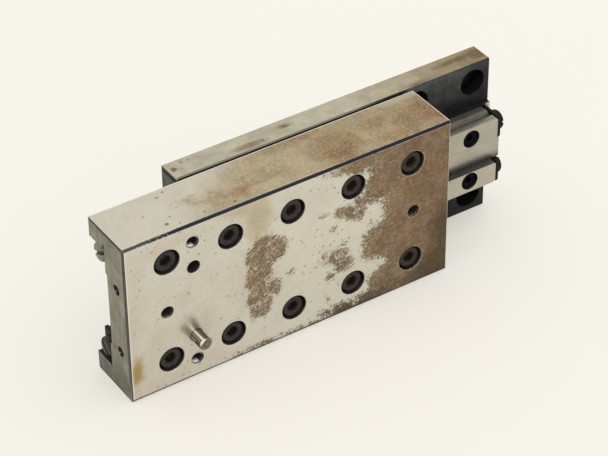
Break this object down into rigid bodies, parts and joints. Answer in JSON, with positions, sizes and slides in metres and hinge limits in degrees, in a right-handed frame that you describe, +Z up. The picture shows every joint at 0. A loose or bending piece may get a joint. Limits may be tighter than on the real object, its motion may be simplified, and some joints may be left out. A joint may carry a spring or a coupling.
{
  "type": "linear slide",
  "caption": "Crossed-roller linear slide: a channel-shaped ground steel table that rolls along a ridged base plate on caged rollers between grooved rails.",
  "frame": {"origin": "middle of the base plate's flat mounting face", "axes": "+X along the travel, +Y out of the mounting face, +Z up across the slide's width; the table's working face looks along -Y"},
  "size_m": [0.171, 0.0411, 0.0672],
  "materials": {
    "table_steel": "ground, stained with light rust",
    "base_steel": "black oxide with ground edges",
    "rail_steel": "fine ground",
    "black_screw": "black oxide",
    "dark_plate": "black oxide",
    "zinc_screw": "dull zinc plate",
    "pin_steel": "ground bright",
    "roller_steel": "lapped",
    "cage_brass": "plain"
  },
  "bodies": {
    "base": {"base_plate": "base_steel", "upper_inner_rail": "rail_steel", "lower_inner_rail": "rail_steel", "upper_base_screws": "black_screw", "lower_base_screws": "black_screw", "upper_inner_right_stop_plate": "dark_plate", "upper_inner_right_stop_screw": "black_screw", "upper_inner_left_stop_plate": "dark_plate", "upper_inner_left_stop_screw": "black_screw", "lower_inner_right_stop_plate": "dark_plate", "lower_inner_right_stop_screw": "black_screw", "lower_inner_left_stop_plate": "dark_plate", "lower_inner_left_stop_screw": "black_screw"},
    "table": {"carriage_table": "table_steel", "upper_outer_rail": "rail_steel", "lower_outer_rail": "rail_steel", "upper_table_screws": "black_screw", "lower_table_screws": "black_screw", "preload_screws": "black_screw", "dowel_pin": "pin_steel", "upper_outer_right_stop_plate": "dark_plate", "upper_outer_right_stop_screw": "zinc_screw", "upper_outer_left_stop_plate": "dark_plate", "upper_outer_left_stop_screw": "zinc_screw", "lower_outer_right_stop_plate": "dark_plate", "lower_outer_right_stop_screw": "zinc_screw", "lower_outer_left_stop_plate": "dark_plate", "lower_outer_left_stop_screw": "zinc_screw"},
    "upper_rolling_set": {"upper_cage": "cage_brass", "upper_rollers_a": "roller_steel", "upper_rollers_b": "roller_steel"},
    "lower_rolling_set": {"lower_cage": "cage_brass", "lower_rollers_a": "roller_steel", "lower_rollers_b": "roller_steel"}
  },
  "joints": [
    {"name": "table_slide", "type": "slide", "parent": "base", "child": "table", "axis": [1, 0, 0], "range_m": [-0.0016, 0.0746]},
    {"name": "upper_cage_slide", "type": "slide", "parent": "base", "child": "upper_rolling_set", "axis": [1, 0, 0], "range_m": [-0.0008, 0.0373]},
    {"name": "lower_cage_slide", "type": "slide", "parent": "base", "child": "lower_rolling_set", "axis": [1, 0, 0], "range_m": [-0.0008, 0.0373]}
  ],
  "couplings": [
    {"joint": "upper_cage_slide", "follows": "table_slide", "ratio": 0.5},
    {"joint": "lower_cage_slide", "follows": "table_slide", "ratio": 0.5}
  ]
}
